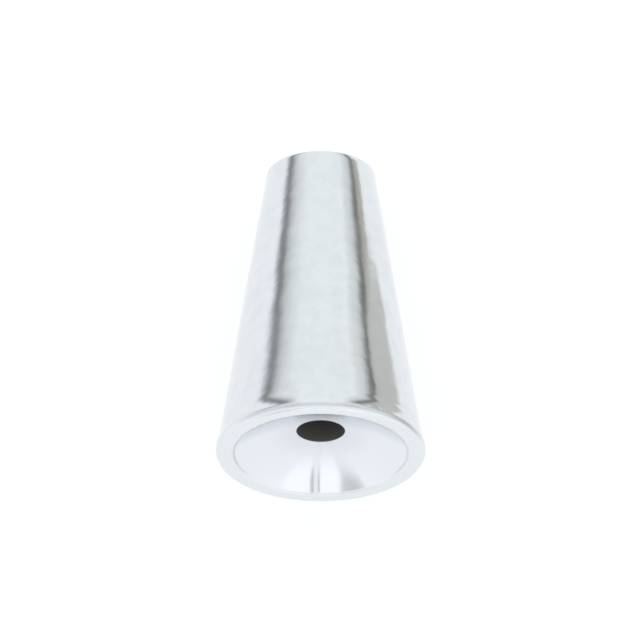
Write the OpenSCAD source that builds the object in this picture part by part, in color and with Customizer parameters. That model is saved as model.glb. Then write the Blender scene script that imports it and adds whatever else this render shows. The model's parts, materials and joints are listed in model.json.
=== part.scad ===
// Cone end cap for the end of a memory wire bracelet, lying on its side.
// All sizes are millimetres. The wide end faces -Y and the closed end faces +Y.
// The rounded rim stands a hair proud of the side, so the cap rests on its rim and on its
// closed end, and both touch the plane Z = 0.

/* [Cone] */
// Diameter of the wide end, over its rounded rim
wide_d = 4.02; // [3.6:0.02:5]
// Length from the rim to the closed end
cap_l = 6.08; // [5:0.01:8]
// Slope of the side against the axis, in degrees
taper = 9.05; // [6:0.05:11]
// Rounding of the edge at the closed end
tip_round = 0.04; // [0.02:0.01:0.2]

/* [Rim] */
// Rounding of the rim's outer edge
rim_round = 0.11; // [0.08:0.01:0.3]
// How far the rim stands out past the line of the side
rim_proud = 0.015; // [0.002:0.001:0.03]
// Width of the flat that is left between the two roundings of the rim
rim_w = 0.13; // [0.05:0.01:0.3]
// Rounding of the rim's inner edge
lip_round = 0.13; // [0.05:0.01:0.2]
// How far the inner rounding turns down before the dish starts, in degrees
lip_turn = 49; // [40:1:80]

/* [Dish] */
// Diameter of the round bead that nests in the dish
bead_d = 6; // [5:0.5:12]

/* [Wire hole] */
// Diameter of the blind hole that the wire is glued into
hole_d = 0.92; // [0.7:0.02:1.2]
// Depth of the straight part of the hole, from the rim
hole_depth = 4; // [2:0.1:4.4]
// Angle of the drill's point at the bottom of the hole, in degrees
drill_angle = 118; // [90:2:140]

/* [Hidden] */

silver = [0.87, 0.88, 0.90];

// Centre of the rim's outer rounding, which is also where its flat starts
edge_r = wide_d / 2 - rim_round;

// Centre of the rim's inner rounding, and the place where that rounding meets the dish
lip_r = edge_r - rim_w;
dish_r = lip_r - lip_round * sin(lip_turn);
dish_z = lip_round * (1 - cos(lip_turn));

// Radius of the side beside the centre of the rim's outer rounding
side_r = wide_d / 2 - rim_proud;

// Centre of the rounding at the closed end
tip_z = cap_l - tip_round;
tip_r = side_r - (tip_z - rim_round) * tan(taper) - tip_round / cos(taper);

// Centre of the bead that the dish fits, in front of the rim
bead_r = bead_d / 2;
bead_z = dish_z - sqrt(pow(bead_r, 2) - pow(dish_r, 2));

hole_r = hole_d / 2;
hole_point = hole_r / tan(drill_angle / 2);

// How far a cutting shape starts outside the metal
overrun = 1;

// How far out into a rounding a straight edge runs, as a share of the rounding
tuck = 0.98;

// Slope of the line that touches the two outer roundings, which is how far the lying cap's axis tilts
fall_r = edge_r - tip_r;
fall_z = tip_z - rim_round;
rest_tilt = atan2(fall_r, fall_z) + asin((rim_round - tip_round) / norm([fall_r, fall_z]));

// Ends of the lying cap along Y, measured from the centre of its rim
front_y = rim_round * cos(rest_tilt) - edge_r * sin(rest_tilt) - rim_round;
back_y = tip_z * cos(rest_tilt) + tip_r * sin(rest_tilt) + tip_round;

// Centre of the rim in the part's frame: the cap rests on Z = 0, and its length is centred on Y = 0
rim_y = -(front_y + back_y) / 2;
rim_z = edge_r * cos(rest_tilt) + rim_round * sin(rest_tilt) + rim_round;

round_fn = 128;
corner_fn = 64;

// Point just inside a rounding, in the given direction from its centre, where a straight edge can end
function inside(r, z, rounding, angle) =
    [r, z] + tuck * rounding * [cos(angle), sin(angle)];

// Half section of the cone and its flat closed end, with X as the radius and Y as the distance from the rim
module cone_section() {
    polygon([
        [0, 0],
        inside(lip_r, lip_round, lip_round, -90 - 0.8 * lip_turn),
        [lip_r, lip_round],
        [lip_r, 0],
        [edge_r, 0],
        [edge_r, rim_round],
        [side_r, rim_round],
        inside(tip_r, tip_z, tip_round, taper),
        [tip_r, cap_l],
        [0, cap_l],
    ]);
    translate([tip_r, tip_z])
        circle(r = tip_round, $fn = corner_fn);
}

// Half section of the two roundings of the rim, which stand out past the side and past the dish
module rim_section() {
    translate([edge_r, rim_round])
        circle(r = rim_round, $fn = corner_fn);
    translate([lip_r, lip_round])
        circle(r = lip_round, $fn = corner_fn);
}

// Half section of the round dish
module dish_section() {
    translate([0, bead_z])
        circle(r = bead_r, $fn = 2 * round_fn);
}

// Half section of the drilled hole, with its pointed bottom
module hole_section() {
    polygon([
        [0, -overrun],
        [hole_r, -overrun],
        [hole_r, hole_depth],
        [0, hole_depth + hole_point],
    ]);
}

// The whole cap, turned from one piece and laid on its side
module end_cap() {
    color(silver)
        translate([0, rim_y, rim_z])
            rotate([-(90 + rest_tilt), 0, 0])
                rotate_extrude($fn = round_fn) {
                    difference() {
                        cone_section();
                        dish_section();
                        hole_section();
                    }
                    rim_section();
                }
}

end_cap();
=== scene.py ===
# %% [markdown]
# # A cone end cap for a memory wire bracelet
# The real cap is about 4 by 6 mm. It is turned from brass rod, drilled, tumbled and silver plated, and it
# lies on its side. The CAD model gives the size and the place, and this script gives the metal its finish
# and its light. Everything below works in millimetres, and goes to metres only when a mesh, a light or
# the camera is made.

# %% Load the fixed frame
import json
import math

import bpy
import numpy as np
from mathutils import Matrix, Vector


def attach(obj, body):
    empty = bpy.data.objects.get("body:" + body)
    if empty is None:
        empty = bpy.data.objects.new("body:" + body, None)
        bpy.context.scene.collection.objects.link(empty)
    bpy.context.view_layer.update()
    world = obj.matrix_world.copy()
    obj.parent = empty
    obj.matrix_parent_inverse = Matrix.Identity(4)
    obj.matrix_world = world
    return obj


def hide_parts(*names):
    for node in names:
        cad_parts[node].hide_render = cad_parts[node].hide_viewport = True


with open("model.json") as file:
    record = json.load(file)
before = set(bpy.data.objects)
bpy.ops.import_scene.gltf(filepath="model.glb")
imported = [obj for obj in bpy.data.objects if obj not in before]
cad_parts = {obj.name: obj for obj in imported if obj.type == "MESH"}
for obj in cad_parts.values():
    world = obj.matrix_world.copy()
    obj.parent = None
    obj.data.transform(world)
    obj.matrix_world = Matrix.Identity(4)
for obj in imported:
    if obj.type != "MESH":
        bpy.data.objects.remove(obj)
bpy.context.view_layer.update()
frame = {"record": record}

# A millimetre in metres, and a micron in millimetres.
MM = 0.001
MICRON = 0.001


# %% [markdown]
# ## Sizes
# The frame's record holds the mounts, and they say where the rim is, which way the axis points and how
# wide the hole is. The lying cap touches the surface with its rim and with the edge of its closed end, so
# its axis tilts a little more than its side slopes. The other sizes are those that it was turned to.
#
# The rim stands 5 microns further out past the side than in the CAD model, because that puts the ends of
# the mirrored stripes where the photo has them. The side slopes a little less to make up for it, so the
# closed end is as wide as it is there.

# %% Sizes in millimetres
mounts = {mount["name"]: mount for mount in frame["record"]["mounts"]}
RIM_CENTRE = np.array(mounts["bead_seat"]["pos_m"]) / MM
OUT = np.array(mounts["bead_seat"]["axis"])
REST_TILT = math.asin(OUT[2])
HOLE_R = mounts["wire_bore"]["dims"]["r_mm"]

WIDE_R = 2.01
CAP_L = 6.08
TAPER = math.radians(9.005)
TIP_ROUND = 0.04
RIM_ROUND = 0.11
RIM_PROUD = 0.02
RIM_W = 0.13
LIP_ROUND = 0.13
LIP_TURN = math.radians(49)
BEAD_R = 3.0
HOLE_DEPTH = 4.0
HOLE_EDGE = 0.025
DRILL_ANGLE = math.radians(118)
print("tilt of the axis:", round(math.degrees(REST_TILT), 2), "degrees; hole:", 2 * HOLE_R, "mm")

# %% [markdown]
# ## The cap's section
# A lathe makes every round surface from one line, the section, and the model does the same. The line
# starts in the middle of the closed end, runs over its edge, along the side, over the rim, down the dish
# and to the bottom of the drilled hole. Straight stretches and arcs are enough, and each edge is a real
# arc, because a bright metal edge shows as a thin line of light. A Bevel modifier could round the edges
# too, but an arc puts the exact radius in. All points are pairs: the radius, and the distance inwards
# from the rim.

# %% Straight stretches and arcs
def straight(start, end, steps):
    """Points from start to end at even steps, without the end: start plus a share of the way."""
    share = np.linspace(0, 1, steps, endpoint=False)[:, None]
    return np.array(start) + share * (np.array(end) - np.array(start))


def arc(centre, radius, start, end, steps):
    """Points on a circle between two angles, without the last: centre plus radius times cosine and sine."""
    angle = np.linspace(start, end, steps, endpoint=False)
    return np.array(centre) + radius * np.stack([np.cos(angle), np.sin(angle)], axis=1)


def on_circle(centre, radius, angle):
    """The one point of a circle at an angle."""
    return arc(centre, radius, angle, angle, 1)[0]


print("three points of a quarter circle:", arc((0, 0), 1, 0, math.pi / 2, 3).round(3).tolist())

# %% [markdown]
# ### The rim's two creases
# The rim's rounding stands two hundredths of a millimetre out past the side, and its inner rounding meets
# the dish at an angle. On the real cap neither crease is sharp: the tool's nose and the plating fill it.
# So each crease gets a hollow arc that touches both neighbours, and its centre follows from their centres
# and radii. The one beside the side is wide and shallow. The mirror swings down in it, so the dark
# stripes on the side end a little before the rim.

# %% The creases
SIDE_HOLLOW = 1.0
DISH_HOLLOW = 0.03


def meeting(one, one_reach, other, other_reach):
    """The point at a reach from each of two centres, left of the way between them: the law of cosines."""
    way = np.array(other) - np.array(one)
    span = np.linalg.norm(way)
    along = (one_reach**2 - other_reach**2 + span**2) / (2 * span)
    off = math.sqrt(one_reach**2 - along**2)
    return np.array(one) + (along * way + off * np.array([-way[1], way[0]])) / span


rim_edge = (WIDE_R - RIM_ROUND, RIM_ROUND)
side_gap = (RIM_ROUND - RIM_PROUD) * math.cos(TAPER)
side_turn = math.acos((side_gap + SIDE_HOLLOW) / (RIM_ROUND + SIDE_HOLLOW))
side_hollow = on_circle(rim_edge, RIM_ROUND + SIDE_HOLLOW, TAPER + side_turn)

lip = (rim_edge[0] - RIM_W, LIP_ROUND)
dish_edge = on_circle(lip, LIP_ROUND, -math.pi / 2 - LIP_TURN)
dish = (0.0, dish_edge[1] - math.sqrt(BEAD_R**2 - dish_edge[0] ** 2))
dish_hollow = meeting(dish, BEAD_R - DISH_HOLLOW, lip, LIP_ROUND + DISH_HOLLOW)
print("the side's crease turns by", round(math.degrees(side_turn), 1), "degrees")

# %% [markdown]
# ### The two ends of the section
# At the closed end the tool only broke the edge, so its arc is small. At the other end the bead's dish
# runs into the drilled hole over an edge that polishing has rounded, and the drill's point leaves a cone
# at the bottom.

# %% The closed end and the hole
tip_z = CAP_L - TIP_ROUND
side_r = WIDE_R - RIM_PROUD - (tip_z - RIM_ROUND) * math.tan(TAPER)
tip_edge = (side_r - TIP_ROUND / math.cos(TAPER), tip_z)

mouth_r = HOLE_R + HOLE_EDGE
mouth = (mouth_r, dish[1] + math.sqrt((BEAD_R + HOLE_EDGE) ** 2 - mouth_r**2))
hole_end = (0, HOLE_DEPTH + HOLE_R / math.tan(DRILL_ANGLE / 2))
print("closed end:", round(2 * side_r, 2), "mm wide; the hole ends", round(hole_end[1], 2), "mm deep")

# %% [markdown]
# ### The line as a whole
# The stretches follow each other, and each one leaves its end to the next. Their names are kept with the
# rows of points that they fill, because each stretch gets its own finish later. The side has many short
# steps, because its waves need them, and an arc has enough steps that its facets don't show in a mirror.

# %% The section
def heading(start, end):
    """The angle of the way from start to end."""
    return math.atan2(end[1] - start[1], end[0] - start[0])


side_start = on_circle(tip_edge, TIP_ROUND, TAPER)
side_end = on_circle(side_hollow, SIDE_HOLLOW, math.pi + TAPER)
crease_end = TAPER + side_turn
lip_end = heading(lip, dish_hollow)
dish_start = heading(dish, dish_hollow)
dish_end = heading(dish, mouth)
stretches = {
    "end": straight((0, CAP_L), (tip_edge[0], CAP_L), steps=8),
    "end edge": arc(tip_edge, TIP_ROUND, math.pi / 2, TAPER, steps=6),
    "side": straight(side_start, side_end, steps=126),
    "side hollow": arc(side_hollow, SIDE_HOLLOW, math.pi + TAPER, math.pi + crease_end, steps=6),
    "rim edge": arc(rim_edge, RIM_ROUND, crease_end, -math.pi / 2, steps=22),
    "rim": straight((rim_edge[0], 0), (lip[0], 0), steps=3),
    "lip": arc(lip, LIP_ROUND, -math.pi / 2, lip_end, steps=12),
    "dish hollow": arc(dish_hollow, DISH_HOLLOW, lip_end + math.pi, dish_start, steps=4),
    "dish": arc(dish, BEAD_R, dish_start, dish_end, steps=40),
    "hole edge": arc(mouth, HOLE_EDGE, dish_end - math.pi, -math.pi, steps=6),
    "hole": straight((HOLE_R, mouth[1]), (HOLE_R, HOLE_DEPTH), steps=26),
    "drill point": straight((HOLE_R, HOLE_DEPTH), hole_end, steps=6),
}
section = np.concatenate([*stretches.values(), [hole_end]])
length = np.concatenate([[0], np.cumsum(np.linalg.norm(np.diff(section, axis=0), axis=1))])
row_ends = np.cumsum([len(part) for part in stretches.values()])
rows_of = {name: slice(end - len(stretches[name]), end) for name, end in zip(stretches, row_ends)}
print("section:", len(section), "points over", round(float(length[-1]), 2), "mm")

# %% [markdown]
# ## Small unevenness
# A tumbled and plated part this small is never a perfect cone: its side waves by several microns, and it
# has shallow dings from the other parts in the barrel. Bright metal shows such waves as a slight wobble
# in every reflection. A bump in the material could do it, but these waves are as long as a quarter of the
# part, which makes them a shape, so they move the surface itself.

# %% Waves and dings of the side
# Each wave: turns round the cap, waves per millimetre along it, phase, height in microns. The last six
# together are faint lobes, such as the jaws of a lathe chuck leave. They are strongest on top and weak
# below, and they change sides on the way to the closed end, which puts the stripes where the photo has
# them.
WAVES = np.array([
    [2, 0.21, 0.4, 2.2],
    [3, -0.34, 5.24, 1.4],
    [5, 0.62, 1.26, 0.7],
    [7, -0.85, 4.44, 0.45],
    [0, 1.15, 0.9, 0.35],
    [11, 1.40, 2.06, 0.22],
    [3, 0.082, 1.133, 2.8],
    [3, -0.082, 2.009, 2.8],
    [4, 0.082, 1.133, 1.4],
    [4, -0.082, 2.009, 1.4],
    [2, 0.082, -0.13, 4.6],
    [2, -0.082, 0.746, 4.6],
])
# Each ding: distance from the rim in mm, degrees round from the top, radius in mm, depth in microns.
DINGS = np.array([
    [5.62, 1.5, 0.11, 1.3],
    [3.30, 38.0, 0.10, 0.8],
    [1.25, -58.0, 0.13, 1.2],
    [4.35, 121.0, 0.12, 1.0],
    [2.10, 158.0, 0.15, 1.4],
    [4.90, -140.0, 0.10, 0.9],
])


def unevenness(along, around, radius):
    """How far the side stands out, in mm: sine waves over both directions, less a bell curve per ding."""
    turns, per_mm, phase, height = WAVES.T[:, :, None, None]
    waves = (height * np.sin(turns * around + 2 * np.pi * per_mm * along + phase)).sum(axis=0)
    middle, angle, size, depth = DINGS.T[:, :, None, None]
    off_round = np.angle(np.exp(1j * (around - np.radians(angle)))) * radius
    dings = (depth * np.exp(-((along - middle) ** 2 + off_round**2) / size**2)).sum(axis=0)
    return (waves - dings) * MICRON


print(len(WAVES), "waves and", len(DINGS), "dings")

# %% [markdown]
# ## Turning the section into a surface
# Turning is one formula: a point of the section keeps its distance from the rim, and its radius goes
# round the axis. The Screw modifier would do the same, but working the grid out as one array lets the
# unevenness in and keeps each end closed with a single point. The unevenness fades out at both ends of
# the side, so that the arcs there stay true, and a small power keeps that fade short.

# %% Points of the turned surface
TURNS = 256
FADE_POWER = 0.25

around = np.linspace(0, 2 * np.pi, TURNS, endpoint=False)[None, :]
leftwards = np.array([-1.0, 0.0, 0.0])
upwards = np.cross(leftwards, OUT)
radius = section[1:-1, :1] * np.ones_like(around)
along = section[1:-1, 1:] * np.ones_like(around)

# The section's first point is a pole and not a row of the grid, so the side's rows come one earlier.
side_rows = slice(rows_of["side"].start - 1, rows_of["side"].stop - 1)
fade = np.sin(np.linspace(0, np.pi, len(stretches["side"])))[:, None] ** FADE_POWER
shift = np.zeros_like(radius)
shift[side_rows] = fade * unevenness(along[side_rows], around, radius[side_rows])
radius = radius + shift * math.cos(TAPER)
along = along + shift * math.sin(TAPER)


def turned(radius, along, around):
    """A point in mm: the rim's centre, inwards along the axis, plus the radius turned from top to left."""
    ring = np.cos(around)[..., None] * upwards + np.sin(around)[..., None] * leftwards
    return RIM_CENTRE - along[..., None] * OUT + radius[..., None] * ring


grid = turned(radius, along, around).reshape(-1, 3)
poles = turned(np.zeros(2), section[[0, -1], 1], np.zeros(2))
points = np.concatenate([grid, poles])
most = float(np.abs(shift).max() / MICRON)
print(len(points), "points; the side is off by up to", round(most, 2), "microns")

# %% [markdown]
# ### Faces
# Each face is four corners of the grid, listed so that it points outwards. The last column joins the
# first one, which closes the seam, and a fan of triangles round each pole closes the ends.

# %% Faces
rows = len(section) - 2
ring = np.arange(TURNS)
after = np.roll(ring, -1)
row = np.arange(rows - 1)[:, None] * TURNS
quads = np.stack([row + ring, row + TURNS + ring, row + TURNS + after, row + after], axis=-1).reshape(-1, 4)
first_fan = np.stack([np.full(TURNS, len(grid)), ring, after], axis=-1)
last = (rows - 1) * TURNS
last_fan = np.stack([np.full(TURNS, len(grid) + 1), last + after, last + ring], axis=-1)
print("faces:", len(quads), "with four corners and", len(first_fan) + len(last_fan), "with three")

# %% [markdown]
# ### UV
# A UV map spreads the surface out flat. Here the first value goes once round, and the second is the real
# length in mm along the section, from the middle of the closed end. So the shader can find a line along
# the rim by its length, and it knows which way the turning marks run. The values are listed in the order
# of the faces' corners.

# %% UV values
low_u, high_u = ring / TURNS, (ring + 1) / TURNS
middle_u = (low_u + high_u) / 2
near_v, far_v = length[1:-2, None], length[2:-1, None]
quad_u = np.broadcast_to(np.stack([low_u, low_u, high_u, high_u], axis=-1), (rows - 1, TURNS, 4))
quad_v = np.broadcast_to(np.stack([near_v, far_v, far_v, near_v], axis=-1), (rows - 1, TURNS, 4))
first_fan_u = np.stack([middle_u, low_u, high_u], axis=-1)
first_fan_v = np.broadcast_to([length[0], length[1], length[1]], (TURNS, 3))
last_fan_u = np.stack([middle_u, high_u, low_u], axis=-1)
last_fan_v = np.broadcast_to([length[-1], length[-2], length[-2]], (TURNS, 3))
uv = np.stack([
    np.concatenate([values.ravel() for values in (quad_u, first_fan_u, last_fan_u)]),
    np.concatenate([values.ravel() for values in (quad_v, first_fan_v, last_fan_v)]),
], axis=-1)
print("UV values:", len(uv), "with lengths up to", round(float(uv[:, 1].max()), 2), "mm")

# %% [markdown]
# ### The mesh
# foreach_set hands whole arrays to Blender, which takes a moment where a loop over the points would take
# long. The faces are shaded smooth, because the real surface is round, and the object stays at the
# origin, unturned.

# %% The mesh
mesh = bpy.data.meshes.new("end_cap_turned")
corners = np.concatenate([quads.ravel(), first_fan.ravel(), last_fan.ravel()])
sizes = np.concatenate([np.full(len(quads), 4), np.full(2 * TURNS, 3)])
mesh.vertices.add(len(points))
mesh.loops.add(len(corners))
mesh.polygons.add(len(sizes))
mesh.vertices.foreach_set("co", (points * MM).ravel())
mesh.loops.foreach_set("vertex_index", corners)
mesh.polygons.foreach_set("loop_start", np.concatenate([[0], np.cumsum(sizes)[:-1]]))
mesh.polygons.foreach_set("use_smooth", np.ones(len(sizes), dtype=bool))
mesh.uv_layers.new(name="turning").data.foreach_set("uv", uv.ravel())
mesh.update(calc_edges=True)
mesh.validate()
cap = bpy.data.objects.new("turned_end_cap", mesh)
bpy.context.scene.collection.objects.link(cap)
print("faces:", len(mesh.polygons), "triangles:", int((sizes - 2).sum()))

# %% [markdown]
# ## Materials
# Colours are written as sRGB hex, as a colour picker shows them, and Blender's shaders want linear
# values, so one function turns one into the other. Another adds a node with its settings and links, and a
# third lays colours over each other, as stains lie over a metal.

# %% Colours and nodes
def linear(hex_colour):
    """An sRGB hex colour as linear red, green, blue and alpha: the standard sRGB curve for each channel."""
    values = np.array([int(hex_colour[i:i + 2], 16) for i in (1, 3, 5)]) / 255
    low = values / 12.92
    high = ((values + 0.055) / 1.055) ** 2.4
    return (*np.where(values <= 0.04045, low, high).tolist(), 1.0)


def add_node(tree, kind, inputs=None, **settings):
    """Adds one node. inputs maps a socket's name or number to a value, or to the output that feeds it."""
    made = tree.nodes.new(kind)
    for name, value in settings.items():
        setattr(made, name, value)
    for key, value in (inputs or {}).items():
        if isinstance(value, bpy.types.NodeSocket):
            tree.links.new(value, made.inputs[key])
        else:
            made.inputs[key].default_value = value
    return made


# The Mix node keeps its colour sockets behind those for numbers and vectors.
MIX_BELOW, MIX_ABOVE, MIX_RESULT = 6, 7, 2


def layered(tree, colour, layers):
    """A colour with others over it, one by one. Each layer is a factor, nothing to one, and its colour."""
    for factor, above in layers:
        mix = add_node(tree, "ShaderNodeMix", {
            "Factor": factor, MIX_BELOW: colour, MIX_ABOVE: above}, data_type="RGBA")
        colour = mix.outputs[MIX_RESULT]
    return colour


print("middle grey #808080 is", round(linear("#808080")[0], 3), "in linear light")

# %% [markdown]
# ### Coordinates on the cap's own axis
# The patterns follow the axis, and the axis lies tilted in the world. A Mapping node of the Texture kind
# undoes the cap's place and tilt and turns metres into millimetres, so that a noise of scale 1 / 0.3 has
# grains of 0.3 mm on the real cap. Generated coordinates would need no Mapping node, but they stretch
# with the cap's box.

# %% Coordinates in millimetres
def new_material(name):
    """An empty material, and coordinates in mm on the cap's axis: the rim at zero, X across, Z inwards."""
    material = bpy.data.materials.new(name)
    material.use_nodes = True
    tree = material.node_tree
    tree.nodes.clear()
    lying = add_node(tree, "ShaderNodeTexCoord").outputs["Object"]
    turn = (-(math.pi / 2 + REST_TILT), 0, 0)
    on_axis = add_node(tree, "ShaderNodeMapping", vector_type="TEXTURE", inputs={
        "Vector": lying, "Location": tuple(RIM_CENTRE * MM), "Rotation": turn, "Scale": (MM, MM, MM)})
    return material, tree, on_axis.outputs["Vector"]


print("the axis is turned by", round(90 + math.degrees(REST_TILT), 2), "degrees from upright")

# %% [markdown]
# ### Painted shade in a crease
# A thin grey line is painted along a crease: painted shade, which darkens the metal where two faces meet. A
# cavity mask from the shape could find it, but this crease has a known place: a length along the section,
# and that is the UV's second value. The line is patchy, and in the photo it fades out towards the middle,
# so it ends there.

# %% Painted shade in a crease
CREASE_PATCH_MM = 0.7
PATCH_FROM, PATCH_TO = 0.35, 0.6
LEAST_GREY = 0.5


def crease_shade_line(tree, on_axis, stretch, width, clear):
    """How much painted shade a crease gets: one on its line, nothing half a width off it or within clear of
    the middle.
    """
    uv_map = add_node(tree, "ShaderNodeUVMap", uv_map="turning").outputs["UV"]
    along_section = add_node(tree, "ShaderNodeSeparateXYZ", {0: uv_map}).outputs["Y"]
    off_line = add_node(tree, "ShaderNodeMath", {
        0: along_section, 1: length[rows_of[stretch].start]}, operation="SUBTRACT")
    away = add_node(tree, "ShaderNodeMath", {0: off_line.outputs[0]}, operation="ABSOLUTE")
    near = add_node(tree, "ShaderNodeMapRange", {
        "Value": away.outputs[0], "From Min": width / 2, "From Max": 0.0}, interpolation_type="SMOOTHSTEP")
    sideways = add_node(tree, "ShaderNodeSeparateXYZ", {0: on_axis}).outputs["X"]
    off_axis = add_node(tree, "ShaderNodeMath", {0: sideways}, operation="ABSOLUTE")
    beyond = add_node(tree, "ShaderNodeMapRange", {
        "Value": off_axis.outputs[0], "From Min": clear, "From Max": clear + CREASE_PATCH_MM / 2},
        interpolation_type="SMOOTHSTEP")
    patches = add_node(tree, "ShaderNodeTexNoise", {
        "Vector": on_axis, "Scale": 1 / CREASE_PATCH_MM, "Detail": 2.0})
    left = add_node(tree, "ShaderNodeMapRange", {
        "Value": patches.outputs["Fac"], "From Min": PATCH_FROM, "From Max": PATCH_TO, "To Min": LEAST_GREY,
        "To Max": 1.0})
    line = add_node(tree, "ShaderNodeMath", {
        0: near.outputs["Result"], 1: beyond.outputs["Result"]}, operation="MULTIPLY")
    return add_node(tree, "ShaderNodeMath", {
        0: line.outputs[0], 1: left.outputs["Result"]}, operation="MULTIPLY").outputs[0]


print("the rim's crease lies", round(float(length[rows_of["rim edge"].start]), 2), "mm along the section")

# %% [markdown]
# ### Tumbled silver plate
# The side is polished brass with a few microns of silver. Tumbling leaves a skin like a fine orange peel
# and hair-thin scratches, so the eye sees a bright mirror with slightly soft, slightly wobbly
# reflections. Faint smudges and dull spots keep it from looking like chrome. The colour is silver's own,
# a little darker where it is dull, and a metal's IOR stays at its default.

# %% Tumbled silver plate
PEEL_MM = 0.3
PEEL_MICRONS = 3.5
SMUDGE_MM = 0.8
SMUDGE_FROM, SMUDGE_TO = 0.3, 0.7
SPOT_MM = 0.28
SPOT_FROM, SPOT_TO = 0.35, 0.75
SIDE_CREASE_MM = 0.14
SIDE_CREASE_CLEAR_MM = 0.35
TUMBLED_ROUGHNESS = (0.12, 0.17)


def tumbled_silver_plate():
    """Silver plate as it leaves the barrel: a soft mirror with peel, smudges and spots, and painted shade
    in the crease.
    """
    material, tree, on_axis = new_material("silver plate, tumbled bright")
    crease = crease_shade_line(tree, on_axis, "rim edge", SIDE_CREASE_MM, SIDE_CREASE_CLEAR_MM)
    smudge = add_node(tree, "ShaderNodeTexNoise", {
        "Vector": on_axis, "Scale": 1 / SMUDGE_MM, "Detail": 3.0})
    spots = add_node(tree, "ShaderNodeTexNoise", {"Vector": on_axis, "Scale": 1 / SPOT_MM, "Detail": 2.0})
    dull = add_node(tree, "ShaderNodeMapRange", {
        "Value": spots.outputs["Fac"], "From Min": SPOT_FROM, "From Max": SPOT_TO},
        interpolation_type="SMOOTHSTEP")
    tone = layered(tree, linear("#E5E9EE"), [
        (smudge.outputs["Fac"], linear("#DFE3E8")),
        (dull.outputs["Result"], linear("#DDE1E6")),
        # Painted shade along the crease between the side and the rim.
        (crease, linear("#DCDEE1")),
    ])
    sharpest, softest = TUMBLED_ROUGHNESS
    softness = add_node(tree, "ShaderNodeMapRange", {
        "Value": smudge.outputs["Fac"], "From Min": SMUDGE_FROM, "From Max": SMUDGE_TO, "To Min": sharpest,
        "To Max": softest})
    peel = add_node(tree, "ShaderNodeTexNoise", {"Vector": on_axis, "Scale": 1 / PEEL_MM, "Detail": 2.0})
    peel_bump = add_node(tree, "ShaderNodeBump", {
        "Height": peel.outputs["Fac"], "Strength": 1.0, "Distance": PEEL_MICRONS * MICRON * MM})
    shader = add_node(tree, "ShaderNodeBsdfPrincipled", {
        "Base Color": tone, "Metallic": 1.0, "Roughness": softness.outputs["Result"],
        "Normal": peel_bump.outputs["Normal"]})
    add_node(tree, "ShaderNodeOutputMaterial", {"Surface": shader.outputs["BSDF"]})
    return material


tumbled = tumbled_silver_plate()
print(tumbled.name, "has", len(tumbled.node_tree.nodes), "nodes")

# %% [markdown]
# ### Rubbed rim
# The rim touches the bead, the other caps in the bag and the table, so its plating is rubbed. Fine
# scratches in all directions turn the sharp mirror into a soft whitish band. Real scratches are far too
# fine for the picture: a higher roughness stands for them, and a noise lets it vary from place to place.

# %% Rubbed rim
SCUFF_MM = 0.25
SCUFF_MICRONS = 2.5
SCUFF_FROM, SCUFF_TO = 0.35, 0.65
GREY_EDGE_MM = 0.16
GREY_EDGE_CLEAR_MM = 0.25
RUBBED_ROUGHNESS = (0.26, 0.36)


def rubbed_silver_plate():
    """Silver plate with a matt skin of fine scratches, a little more or less of it from place to place."""
    material, tree, on_axis = new_material("silver plate, rubbed edge")
    scuffs = add_node(tree, "ShaderNodeTexNoise", {"Vector": on_axis, "Scale": 1 / SCUFF_MM, "Detail": 2.0})
    sharpest, softest = RUBBED_ROUGHNESS
    softness = add_node(tree, "ShaderNodeMapRange", {
        "Value": scuffs.outputs["Fac"], "From Min": SCUFF_FROM, "From Max": SCUFF_TO, "To Min": sharpest,
        "To Max": softest})
    scuff_bump = add_node(tree, "ShaderNodeBump", {
        "Height": scuffs.outputs["Fac"], "Strength": 1.0, "Distance": SCUFF_MICRONS * MICRON * MM})
    # Painted shade along the crease between the rim and the side, on the rim's side of it.
    rim_crease_shade = crease_shade_line(tree, on_axis, "rim edge", GREY_EDGE_MM, GREY_EDGE_CLEAR_MM)
    tone = layered(tree, linear("#E4E8EC"), [(rim_crease_shade, linear("#DCDEE1"))])
    shader = add_node(tree, "ShaderNodeBsdfPrincipled", {
        "Base Color": tone, "Metallic": 1.0, "Roughness": softness.outputs["Result"],
        "Normal": scuff_bump.outputs["Normal"]})
    add_node(tree, "ShaderNodeOutputMaterial", {"Surface": shader.outputs["BSDF"]})
    return material


rubbed = rubbed_silver_plate()
print(rubbed.name, "has", len(rubbed.node_tree.nodes), "nodes")

# %% [markdown]
# ### Turned dish
# The dish was cut on the lathe, so it holds fine rings round the axis under its plating. Rings smear a
# reflection across themselves, which is why a turned face shows bright rays from the middle outwards. The
# rings themselves are too fine to catch the light one by one, so the shader's anisotropy does the
# smearing, and it takes their direction from the UV. Only a faint bump shows them. The metal is duller
# round the hole. Above it lies a grey patch of painted shade: a painted reflection of the table in the
# cap's shadow in front of the rim. A thin line of painted shade lies in the crease at the dish's edge.

# %% Turned dish
# At a scale of one, Blender's Wave texture repeats every 2 pi / 20 units.
WAVE_UNIT = 2 * math.pi / 20
RING_MM = 0.045
RING_MICRONS = 0.5
TURNED_ROUGHNESS = 0.15
ACROSS_THE_RINGS = 0.25
DISH_CREASE_MM = 0.12
DISH_CREASE_CLEAR_MM = 1.3
DULL_REACH_MM = 1.1
# The middle of the painted shade above the hole, on the cap's axis, where Y points down and Z inwards, and
# how far it reaches.
SHADE_ABOVE_HOLE_AT = (0.0, -0.7, 0.4)
SHADE_ABOVE_HOLE_REACH_MM = 0.7


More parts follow.
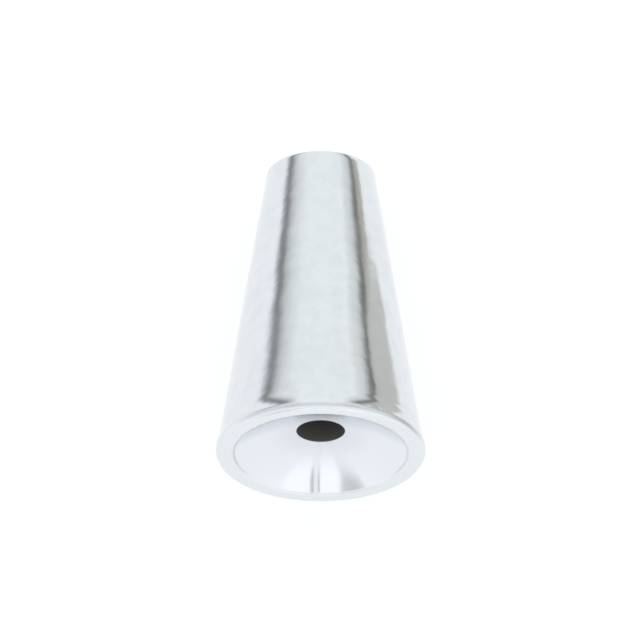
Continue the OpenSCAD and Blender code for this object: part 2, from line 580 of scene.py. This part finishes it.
def turned_silver_plate():
    """Silver plate over a turned face: reflections stretched across rings about the axis, and painted
    shade.
    """
    material, tree, on_axis = new_material("silver plate, turned face")
    rings = add_node(tree, "ShaderNodeTexWave", {
        "Vector": on_axis, "Scale": WAVE_UNIT / RING_MM, "Distortion": 1.5, "Detail": 2.0},
        wave_type="RINGS", rings_direction="Z")
    ring_bump = add_node(tree, "ShaderNodeBump", {
        "Height": rings.outputs["Fac"], "Strength": 1.0, "Distance": RING_MICRONS * MICRON * MM})
    tangent = add_node(tree, "ShaderNodeTangent", direction_type="UV_MAP", uv_map="turning")
    flat = add_node(tree, "ShaderNodeVectorMath", {0: on_axis, 1: (1.0, 1.0, 0.0)}, operation="MULTIPLY")
    off_hole = add_node(tree, "ShaderNodeVectorMath", {0: flat.outputs[0]}, operation="LENGTH")
    dull = add_node(tree, "ShaderNodeMapRange", {
        "Value": off_hole.outputs["Value"], "From Min": DULL_REACH_MM, "From Max": HOLE_R},
        interpolation_type="SMOOTHSTEP")
    # Painted shade above the hole: a painted reflection of the table in the cap's shadow in front of the
    # rim.
    off_shade_above_hole = add_node(tree, "ShaderNodeVectorMath", {0: on_axis, 1: SHADE_ABOVE_HOLE_AT}, operation="DISTANCE")
    shade_above_hole = add_node(tree, "ShaderNodeMapRange", {
        "Value": off_shade_above_hole.outputs["Value"], "From Min": SHADE_ABOVE_HOLE_REACH_MM, "From Max": 0.0},
        interpolation_type="SMOOTHSTEP")
    # Painted shade in the crease where the lip meets the dish.
    crease = crease_shade_line(tree, on_axis, "dish hollow", DISH_CREASE_MM, DISH_CREASE_CLEAR_MM)
    tone = layered(tree, linear("#E7EBF0"), [
        (dull.outputs["Result"], linear("#DEE1E7")),
        (shade_above_hole.outputs["Result"], linear("#C8CBD0")),
        (crease, linear("#C2C4C9")),
    ])
    shader = add_node(tree, "ShaderNodeBsdfPrincipled", {
        "Base Color": tone, "Metallic": 1.0, "Roughness": TURNED_ROUGHNESS, "Anisotropic": 1.0,
        "Anisotropic Rotation": ACROSS_THE_RINGS, "Normal": ring_bump.outputs["Normal"],
        "Tangent": tangent.outputs["Tangent"]})
    add_node(tree, "ShaderNodeOutputMaterial", {"Surface": shader.outputs["BSDF"]})
    return material


turned_face = turned_silver_plate()
print(turned_face.name, "has", len(turned_face.node_tree.nodes), "nodes")

# %% [markdown]
# ### Drilled hole
# Plating hardly reaches into a hole this narrow, so its wall is dull brass gone dark, with the drill's
# rings on it. The eye sees a dark grey that lets a little light in at the mouth. Part of it is an oxide
# skin, so the shader is only partly metal.

# %% Drilled hole
DRILL_RING_MM = 0.06
DRILL_RING_MICRONS = 2.0
OXIDISED_METALLIC = 0.6
DRILLED_ROUGHNESS = 0.6


def drilled_brass():
    """Dark oxidised brass of the drilled wall, with rings from the drill."""
    material, tree, on_axis = new_material("brass, drilled and darkened")
    rings = add_node(tree, "ShaderNodeTexWave", {
        "Vector": on_axis, "Scale": WAVE_UNIT / DRILL_RING_MM, "Distortion": 3.0, "Detail": 2.0},
        wave_type="BANDS", bands_direction="Z")
    ring_bump = add_node(tree, "ShaderNodeBump", {
        "Height": rings.outputs["Fac"], "Strength": 1.0, "Distance": DRILL_RING_MICRONS * MICRON * MM})
    shader = add_node(tree, "ShaderNodeBsdfPrincipled", {
        "Base Color": linear("#747270"), "Metallic": OXIDISED_METALLIC, "Roughness": DRILLED_ROUGHNESS,
        "Normal": ring_bump.outputs["Normal"]})
    add_node(tree, "ShaderNodeOutputMaterial", {"Surface": shader.outputs["BSDF"]})
    return material


drilled = drilled_brass()
print(drilled.name, "has", len(drilled.node_tree.nodes), "nodes")

# %% [markdown]
# ### Which finish goes where
# The cap is one piece of metal, so it stays one mesh with four material slots. Every face knows its row,
# and every row belongs to a stretch of the section, so the stretch decides the finish.

# %% Give each stretch of the section its material
finishes = [tumbled, rubbed, turned_face, drilled]
finish_of = {
    "rim edge": rubbed,
    "rim": rubbed,
    "lip": rubbed,
    "dish hollow": turned_face,
    "dish": turned_face,
    "hole edge": turned_face,
    "hole": drilled,
    "drill point": drilled,
}
for finish in finishes:
    mesh.materials.append(finish)
row_finish = np.concatenate([
    np.full(len(part), finishes.index(finish_of.get(name, tumbled))) for name, part in stretches.items()])
face_finish = np.concatenate([
    np.repeat(row_finish[1:-1], TURNS), np.full(TURNS, row_finish[0]), np.full(TURNS, row_finish[-1])])
mesh.polygons.foreach_set("material_index", face_finish.astype(np.int32))
print("faces of each finish:", np.bincount(face_finish).tolist())

# %% [markdown]
# ## Floor
# The cap lies on a light table: a pale matt sheet that is also lit from below, so there is hardly a
# shadow.

# %% Floor
FLOOR_R = 300.0
FLOOR_CORNERS = 96
FLOOR_GLOW = 0.783
MATT_ROUGHNESS = 0.9
MATT_SHINE = 0.2


def stage_piece(name, points, faces, material):
    """Flat faces through the points, in mm, that belong to the studio and not to the object."""
    flat = bpy.data.meshes.new(name)
    flat.from_pydata((np.array(points) * MM).tolist(), [], faces)
    flat.materials.append(material)
    piece = bpy.data.objects.new(name, flat)
    bpy.context.scene.collection.objects.link(piece)
    return piece


def stage_material(name, colour, glow=0.0):
    """A matt studio surface that may glow white by itself."""
    material = bpy.data.materials.new(name)
    material.use_nodes = True
    tree = material.node_tree
    tree.nodes.clear()
    shader = add_node(tree, "ShaderNodeBsdfPrincipled", {
        "Base Color": linear(colour), "Roughness": MATT_ROUGHNESS, "Specular IOR Level": MATT_SHINE,
        "Emission Color": linear("#FFFFFF"), "Emission Strength": glow})
    add_node(tree, "ShaderNodeOutputMaterial", {"Surface": shader.outputs["BSDF"]})
    return material


floor_turn = np.linspace(0, 2 * np.pi, FLOOR_CORNERS, endpoint=False)
floor_ring = np.stack([np.cos(floor_turn), np.sin(floor_turn), np.zeros_like(floor_turn)], axis=1)
opal_acrylic = stage_material("acrylic sheet, opal", "#8E8F90", FLOOR_GLOW)
stage_piece("floor", floor_ring * FLOOR_R, [list(range(FLOOR_CORNERS))], opal_acrylic)
print("floor:", 2 * FLOOR_R, "mm wide")

# %% [markdown]
# ## Light
# Bright metal shows its surroundings, so the studio is part of the look. The walls are pale in front and
# behind, and greyer at both sides. Behind the cap, to the left and to the right, a wall is dark just
# above the table: these are the two dark stripes on the cap's side. Blender's world shader gives a colour
# for each direction, so the room needs no walls of its own. A ramp over the height above the table gives
# each wall its shades.

# %% Studio walls and ceiling
# Each stop: degrees above the table, colour.
PALE_WALL = [
    (0, "#F4F6F8"),
    (28, "#ECEEEB"),
    (45, "#EFF1ED"),
    (65, "#DCDFDF"),
    (90, "#D4D7D9"),
]
SIDE_WALL = [
    (0, "#DCDDDF"),
    (10, "#D4D6D8"),
    (35, "#D8DADC"),
    (55, "#C6C8CB"),
    (90, "#C6C8CB"),
]
DARK_LEFT = [
    (0, "#E0E0E3"),
    (2.5, "#BEBEC1"),
    (5, "#8A8A8C"),
    (7.5, "#7A7A7A"),
    (10, "#80807E"),
    (13, "#B0B0AE"),
    (16, "#C6C8C6"),
    (20, "#D8DAD8"),
    (24, "#DEE1DF"),
    (28, "#EAEDEC"),
    (38, "#DCDFDF"),
    (55, "#C6C8CB"),
    (90, "#C6C8CB"),
]
DARK_RIGHT = [
    (0, "#BEBDB2"),
    (3, "#A2A197"),
    (5.5, "#626262"),
    (8, "#62625F"),
    (10, "#92928E"),
    (12.5, "#C2C4C1"),
    (14.5, "#D6D8D5"),
    (21, "#DDDFDC"),
    (24, "#F2F5F3"),
    (38, "#DCDFDF"),
    (55, "#C6C8CB"),
    (90, "#C6C8CB"),
]

world = bpy.data.worlds.new("studio")
bpy.context.scene.world = world
world.use_nodes = True
sky = world.node_tree
sky.nodes.clear()
looked_at = add_node(sky, "ShaderNodeTexCoord").outputs["Generated"]
direction = add_node(sky, "ShaderNodeSeparateXYZ", {0: looked_at})


def wall_colour(stops):
    """A colour ramp over the sine of the height above the table, with one stop for each row of the list."""
    ramp = add_node(sky, "ShaderNodeValToRGB", {"Fac": direction.outputs["Z"]})
    places = [math.sin(math.radians(degrees)) for degrees, colour in stops]
    for place in places[1:-1]:
        ramp.color_ramp.elements.new(place)
    for element, place, (degrees, colour) in zip(ramp.color_ramp.elements, places, stops):
        element.position = place
        element.color = linear(colour)
    return ramp.outputs["Color"]


pale_wall = wall_colour(PALE_WALL)
side_wall = wall_colour(SIDE_WALL)
dark_left = wall_colour(DARK_LEFT)
dark_right = wall_colour(DARK_RIGHT)
print("stops of the dark walls:", len(DARK_LEFT), "on the left and", len(DARK_RIGHT), "on the right")

# %% [markdown]
# ### Where each wall stands
# A mask is a smooth step over one part of the direction: how far it goes sideways or back. The walls are
# laid over each other with these masks, as the colours of a material are. The camera itself sees a plain
# pale backdrop, because the Light Path node tells its rays from those that the metal mirrors.

# %% Masks over the direction
SKY_STRENGTH = 1.2
BACKDROP = "#F4F5F7"

off_middle = add_node(sky, "ShaderNodeMath", {0: direction.outputs["X"]}, operation="ABSOLUTE").outputs[0]
# Each mask: what it reads, where it is nothing, where it is one.
MASKS = {
    "beside": (off_middle, 0.25, 0.45),
    "to the right": (direction.outputs["X"], -0.05, 0.05),
    "behind": (direction.outputs["Y"], 0.46, 0.58),
    "in front": (direction.outputs["Y"], -0.3, -0.5),
}
mask = {}
for name, (reading, nothing, one) in MASKS.items():
    step = add_node(sky, "ShaderNodeMapRange", {"Value": reading, "From Min": nothing, "From Max": one},
                    interpolation_type="SMOOTHSTEP")
    mask[name] = step.outputs["Result"]

dark_walls = layered(sky, dark_left, [(mask["to the right"], dark_right)])
walls_beside = layered(sky, side_wall, [(mask["behind"], dark_walls), (mask["in front"], pale_wall)])
seen = add_node(sky, "ShaderNodeLightPath").outputs["Is Camera Ray"]
room = layered(sky, pale_wall, [(mask["beside"], walls_beside), (seen, linear(BACKDROP))])
background = add_node(sky, "ShaderNodeBackground", {"Color": room, "Strength": SKY_STRENGTH})
add_node(sky, "ShaderNodeOutputWorld", {"Surface": background.outputs["Background"]})
print("masks:", list(mask), "and", len(sky.nodes), "nodes in the world")

# %% [markdown]
# ### Cards
# A photographer of bright metal stands cards round it, just outside the picture, and what they add is
# seen only in the metal. In front stand two white light panels, which give the dish its bright rays, with
# their dark edges in the shade and a grey card beside them. To the right of the cap stands a low grey
# card, and further off a darker one. The camera and the floor don't see the cards. They are real faces
# and not part of the world, because each point of the metal sees a near card in another direction, and a
# far wall always in the same one.

# %% The two shapes of card
FRONT_FAR = 60.0
FRONT_H = 18.0
FRONT_LIFT = 0.02


def card(name, points, faces, material):
    """A studio card that only reflections show."""
    piece = stage_piece(name, points, faces, material)
    piece.visible_camera = False
    piece.visible_diffuse = False
    piece.visible_shadow = False


def front_card(name, near, near_ends, far_ends, material):
    """A sheet in front, between two ends across: it lies on the table from near to far, then stands up."""
    corners = (
        (near, FRONT_LIFT, near_ends),
        (FRONT_FAR, FRONT_LIFT, far_ends),
        (FRONT_FAR, FRONT_H, far_ends),
    )
    points = [(end, RIM_CENTRE[1] - away, height) for away, height, ends in corners for end in ends]
    card(name, points, [[0, 1, 3, 2], [2, 3, 5, 4]], material)


def standing_card(name, line, height, material):
    """An upright card over a line of points on the table: one face for each stretch of the line."""
    points = [(*foot, 0.0) for foot in line] + [(*foot, height) for foot in line]
    count = len(line)
    faces = [[near, near + 1, count + near + 1, count + near] for near in range(count - 1)]
    card(name, points, faces, material)


print("the sheets in front stand up", FRONT_FAR, "mm away")

# %% [markdown]
# ### Where the cards stand
# Each place was found backwards. A point of the metal mirrors one direction, and a card that should show
# there stands where that direction meets the table. So the sheets in front spread out like a fan: narrow
# near the cap and wide far away, they show in the dish as rays from its middle.

# %% Set the cards up
CLOTH_GLOW = 0.37

light_cloth = stage_material("light panel, white cloth", "#F4F4F4", CLOTH_GLOW)
dark_edge = stage_material("card, edge in shade", "#707070")
light_grey = stage_material("card, light grey", "#D0D0D0")
warm_grey = stage_material("card, warm grey", "#DBD9D1")
dark_grey = stage_material("card, dark grey", "#BCB9AB")

# Each card in front: name, distance from the rim, its ends across there and at the far end, material.
FRONT_CARDS = [
    ("front light panel left", 3.6, (-0.25, 0.0), (-12.9, 0.8), light_cloth),
    ("front light panel right", 3.6, (0.1, 0.35), (6.7, 24.6), light_cloth),
    ("edge of the left panel", 9.5, (0.11, 0.22), (0.8, 1.7), dark_edge),
    ("edge of the right panel", 9.5, (0.61, 0.8), (4.65, 6.1), dark_edge),
    ("front grey card", 9.0, (-3.0, -1.7), (-29.7, -13.1), light_grey),
]
# Each standing card: name, its line on the table, height, material.
STANDING_CARDS = [
    ("low grey card on the right", [(6.0, -4.0), (7.0, 5.3), (16.2, 13.8)], 4.0, warm_grey),
    ("far grey card on the right", [(13.4, 16.6), (16.2, 13.8)], 3.4, dark_grey),
]
for settings in FRONT_CARDS:
    front_card(*settings)
for settings in STANDING_CARDS:
    standing_card(*settings)
print("cards:", len(FRONT_CARDS), "in front and", len(STANDING_CARDS), "on the right")

# %% [markdown]
# ### Lamp
# One large lamp overhead evens the light on the table. It is off for glossy rays, so the metal doesn't
# mirror it: the walls and cards alone make the reflections.

# %% Lamp
LAMP_AWAY = 400.0
LAMP_W = 300.0
LAMP_ELEVATION = math.radians(80)
LAMP_WATTS = 0.05

lamp_data = bpy.data.lights.new("overhead fill", "AREA")
lamp_data.shape = "SQUARE"
lamp_data.size = LAMP_W * MM
lamp_data.energy = LAMP_WATTS
lamp = bpy.data.objects.new("overhead fill", lamp_data)
lamp_way = Vector((0, -math.cos(LAMP_ELEVATION), math.sin(LAMP_ELEVATION)))
lamp.location = lamp_way * LAMP_AWAY * MM
lamp.rotation_euler = lamp_way.to_track_quat("Z", "Y").to_euler()
lamp.visible_camera = False
lamp.visible_glossy = False
bpy.context.scene.collection.objects.link(lamp)
print("lamp:", LAMP_W, "mm wide,", LAMP_AWAY, "mm away")

# %% [markdown]
# ## Camera
# The photo was taken from well above with a long lens, along the cap. The lens follows from the picture's
# scale: at the camera's distance the sensor has to take in 640 pixels' worth of millimetres. Then the
# camera moves sideways and up until the middle of the rim falls on its pixel, which is easier than
# turning it.

# %% Camera
PICTURE_PX = 640
PX_PER_MM = 52.2
RIM_PX = (320.7, 455.6)
CAMERA_ELEVATION = math.radians(71.5)
CAMERA_AWAY = 300.0
SENSOR = 36.0
CLIP_NEAR = 1.0
CLIP_FAR = 10000.0

camera_data = bpy.data.cameras.new("camera")
camera_data.sensor_width = SENSOR
camera_data.lens = SENSOR * CAMERA_AWAY / (PICTURE_PX / PX_PER_MM)
camera_data.clip_start = CLIP_NEAR * MM
camera_data.clip_end = CLIP_FAR * MM
camera = bpy.data.objects.new("camera", camera_data)
backwards = np.array([0, -math.cos(CAMERA_ELEVATION), math.sin(CAMERA_ELEVATION)])
picture_up = np.array([0, math.sin(CAMERA_ELEVATION), math.cos(CAMERA_ELEVATION)])
off_px = np.array([PICTURE_PX / 2 - RIM_PX[0], RIM_PX[1] - PICTURE_PX / 2])
aim = RIM_CENTRE + (off_px[1] * picture_up - off_px[0] * leftwards) / PX_PER_MM
camera.location = (aim + backwards * CAMERA_AWAY) * MM
camera.rotation_euler = (math.pi / 2 - CAMERA_ELEVATION, 0, 0)
bpy.context.scene.collection.objects.link(camera)
bpy.context.scene.camera = camera
bpy.context.scene.view_settings.view_transform = "Standard"
print("lens:", round(camera_data.lens), "mm at", CAMERA_AWAY, "mm")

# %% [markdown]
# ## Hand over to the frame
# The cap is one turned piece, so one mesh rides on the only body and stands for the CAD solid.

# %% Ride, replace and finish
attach(cap, "root")
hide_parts("end_cap")
